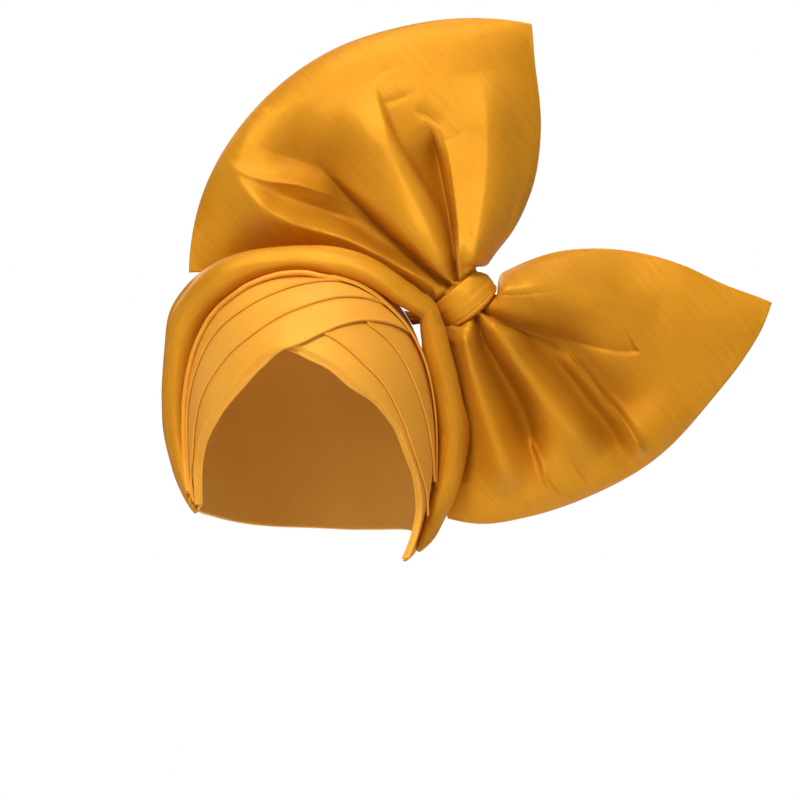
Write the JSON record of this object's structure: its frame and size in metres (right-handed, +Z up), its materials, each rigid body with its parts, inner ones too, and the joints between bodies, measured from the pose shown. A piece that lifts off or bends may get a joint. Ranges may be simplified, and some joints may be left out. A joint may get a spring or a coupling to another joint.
{
  "type": "gele head tie",
  "caption": "Ready-tied gele head tie: a pleated cap with a padded roll round it and a large padded bow, held by a wrapped band, in golden mustard shot taffeta",
  "frame": {"origin": "inside of the crown, where the cap rests on the top of the head", "axes": "+Z up, -Y is the way the face opening looks, +X towards the bow, which is the viewer's right"},
  "size_m": [0.3825, 0.1872, 0.3387],
  "materials": {
    "cap_cloth": "satin",
    "bow_cloth": "satin"
  },
  "bodies": {
    "root": {"cap": "cap_cloth", "left_pleat_1": "cap_cloth", "left_pleat_2": "cap_cloth", "left_pleat_3": "cap_cloth", "right_pleat_1": "cap_cloth", "right_pleat_2": "cap_cloth", "right_pleat_3": "cap_cloth", "crown_fold": "cap_cloth", "halo_roll": "bow_cloth", "bow_upper_wing": "bow_cloth", "bow_lower_wing": "bow_cloth", "bow_knot": "bow_cloth", "knot_tab": "bow_cloth"}
  },
  "joints": []
}
